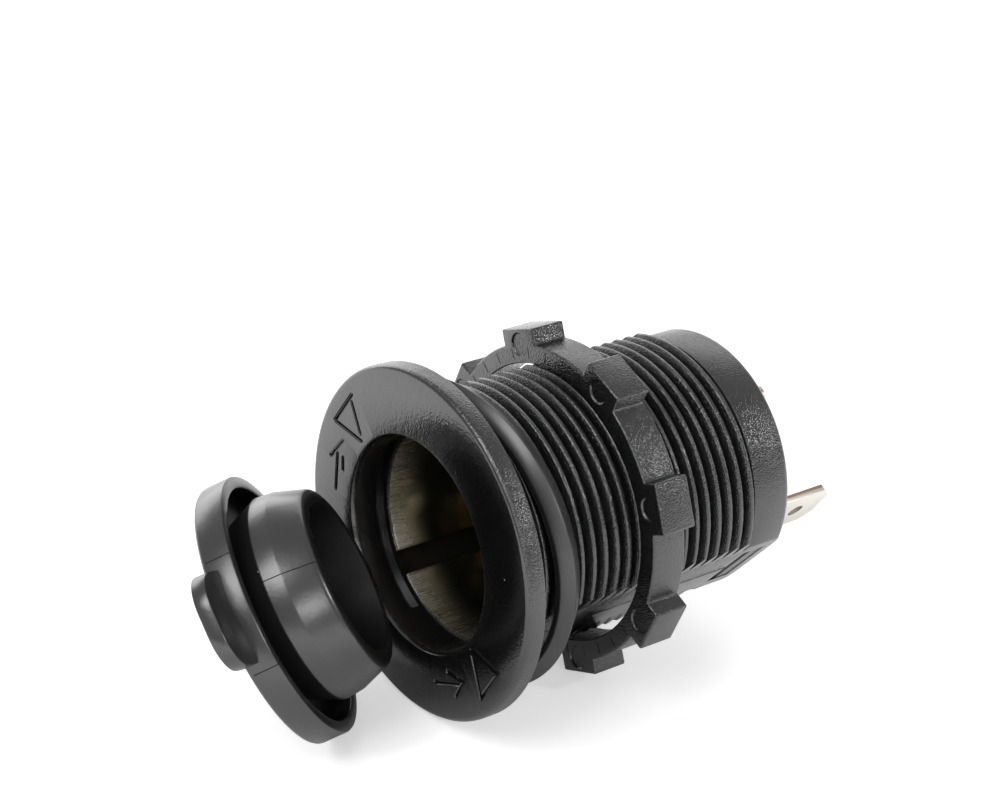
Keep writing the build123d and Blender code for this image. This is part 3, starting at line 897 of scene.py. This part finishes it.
class SOCKET_OT_stage(Operator):
    """Sets the floor, the light and the camera"""

    bl_idname = "socket.stage"
    bl_label = "Stage"

    def execute(self, context):
        stage = context.scene.socket_stage
        scene = context.scene
        scene.view_settings.view_transform = "Standard"

        # The camera sees the floor lifted to white. Its mirror image is lifted too, but not close to the
        # socket, where the black mouldings reflect a floor in shade
        camera_lift, mirror_lift, shade_end, clear_start = 0.45, 0.62, 0.02, 0.07
        paper, tree = new_material("paper sweep white")
        place = add(tree, "ShaderNodeTexCoord").outputs["Object"]
        fibre = add(tree, "ShaderNodeTexNoise", {"Vector": place, "Scale": 1 / (0.8 * MM), "Detail": 2.0})
        relief = add(tree, "ShaderNodeBump", {"Height": fibre.outputs["Fac"], "Distance": 0.01 * MM})
        matte = add(tree, "ShaderNodeBsdfDiffuse", {
            "Color": list(stage.floor), "Normal": relief.outputs["Normal"]})
        path = add(tree, "ShaderNodeLightPath")
        away = add(tree, "ShaderNodeVectorMath", {0: place}, operation="LENGTH")
        clear = add(tree, "ShaderNodeMapRange", {
            "Value": away.outputs["Value"], "From Min": shade_end, "From Max": clear_start,
            "To Max": mirror_lift})
        amount = add(tree, "ShaderNodeMix", {
            0: path.outputs["Is Camera Ray"], 2: clear.outputs["Result"], 3: camera_lift}, data_type="FLOAT")
        lift = add(tree, "ShaderNodeEmission", {"Color": (1.0, 1.0, 1.0, 1.0), "Strength": amount.outputs[0]})
        bright = add(tree, "ShaderNodeAddShader", {0: matte.outputs[0], 1: lift.outputs[0]})
        either = add(tree, "ShaderNodeMath", {
            0: path.outputs["Is Camera Ray"], 1: path.outputs["Is Glossy Ray"]}, operation="ADD")
        shown = add(tree, "ShaderNodeMath", {
            0: either.outputs[0], 1: path.outputs["Is Transmission Ray"]}, operation="ADD", use_clamp=True)
        seen = add(tree, "ShaderNodeMixShader", {
            0: shown.outputs[0], 1: matte.outputs[0], 2: bright.outputs[0]})
        add(tree, "ShaderNodeOutputMaterial", {"Surface": seen.outputs[0]})
        bm = bmesh.new()
        bmesh.ops.create_grid(bm, x_segments=1, y_segments=1, size=20.0,
                              matrix=Matrix.Translation((0, 0, cad_low[2])))
        floor = mesh_object("floor", bm, (paper,))

        world = bpy.data.worlds.new("white room")
        world.use_nodes = True
        tree = world.node_tree
        tree.nodes.clear()
        even = add(tree, "ShaderNodeBackground", {"Color": (1.0, 1.0, 1.0, 1.0), "Strength": stage.sky_level})
        add(tree, "ShaderNodeOutputWorld", {"Surface": even.outputs[0]})
        scene.world = world

        middle = (0.0, 0.01, 0.0)
        lamp("front lamp", stage.front_power, (0.26, 0.26), (0.08, -0.318, 0.377), middle)
        lamp("left lamp", stage.left_power, (0.4, 0.25), (-0.5, 0.05, 0.13), middle)
        lamp("side lamp", stage.side_power, (0.035, 0.06), (0.353, 0.34, 0.28), middle)
        lamp("right lamp", stage.right_power, (0.13, 0.13), (0.435, -0.15, 0.2), middle)
        lamp("back lamp", stage.back_power, (0.4, 0.4), (-0.36, 0.36, 0.3), middle)

        view = bpy.data.cameras.new("camera")
        view.sensor_width = 36.0
        view.sensor_fit = "HORIZONTAL"
        view.lens = 92.5
        view.clip_start = 0.001
        camera = bpy.data.objects.new("camera", view)
        right = Vector((0.60309, 0.79592, 0.0529))
        up = Vector((-0.38236, 0.23025, 0.89486))
        back = Vector((0.70006, -0.55991, 0.44319))
        turn = Matrix((right, up, back)).transposed().to_4x4()
        camera.matrix_world = Matrix.Translation((0.1746, -0.13229, 0.12377)) @ turn
        scene.collection.objects.link(camera)
        scene.camera = camera
        return {"FINISHED"}


STEPS = (SOCKET_OT_housing, SOCKET_OT_ring_nut, SOCKET_OT_gasket, SOCKET_OT_cap, SOCKET_OT_contact_sleeve,
         SOCKET_OT_blades, SOCKET_OT_inner_parts, SOCKET_OT_stage)


class SOCKET_PT_sidebar(Panel):
    """Lists the sizes, the colours and the steps that dress the socket"""

    bl_label = "Panel power socket"
    bl_space_type = "VIEW_3D"
    bl_region_type = "UI"
    bl_category = "Socket"

    def draw(self, context):
        for name in ("socket_sizes", "socket_finishes", "socket_stage"):
            group = getattr(context.scene, name)
            box = self.layout.box()
            for key in group.__annotations__:
                box.prop(group, key)
        for step in STEPS:
            self.layout.operator(step.bl_idname)


CLASSES = (SocketSizes, SocketFinishes, SocketStage, *STEPS, SOCKET_PT_sidebar)


def register():
    for cls in CLASSES:
        bpy.utils.register_class(cls)
    bpy.types.Scene.socket_sizes = PointerProperty(type=SocketSizes)
    bpy.types.Scene.socket_finishes = PointerProperty(type=SocketFinishes)
    bpy.types.Scene.socket_stage = PointerProperty(type=SocketStage)


def unregister():
    del bpy.types.Scene.socket_stage
    del bpy.types.Scene.socket_finishes
    del bpy.types.Scene.socket_sizes
    for cls in reversed(CLASSES):
        bpy.utils.unregister_class(cls)


def main():
    register()
    bpy.ops.socket.housing()
    bpy.ops.socket.ring_nut()
    bpy.ops.socket.gasket()
    bpy.ops.socket.cap()
    bpy.ops.socket.contact_sleeve()
    bpy.ops.socket.blades()
    bpy.ops.socket.inner_parts()
    bpy.ops.socket.stage()


if __name__ == "__main__":
    main()
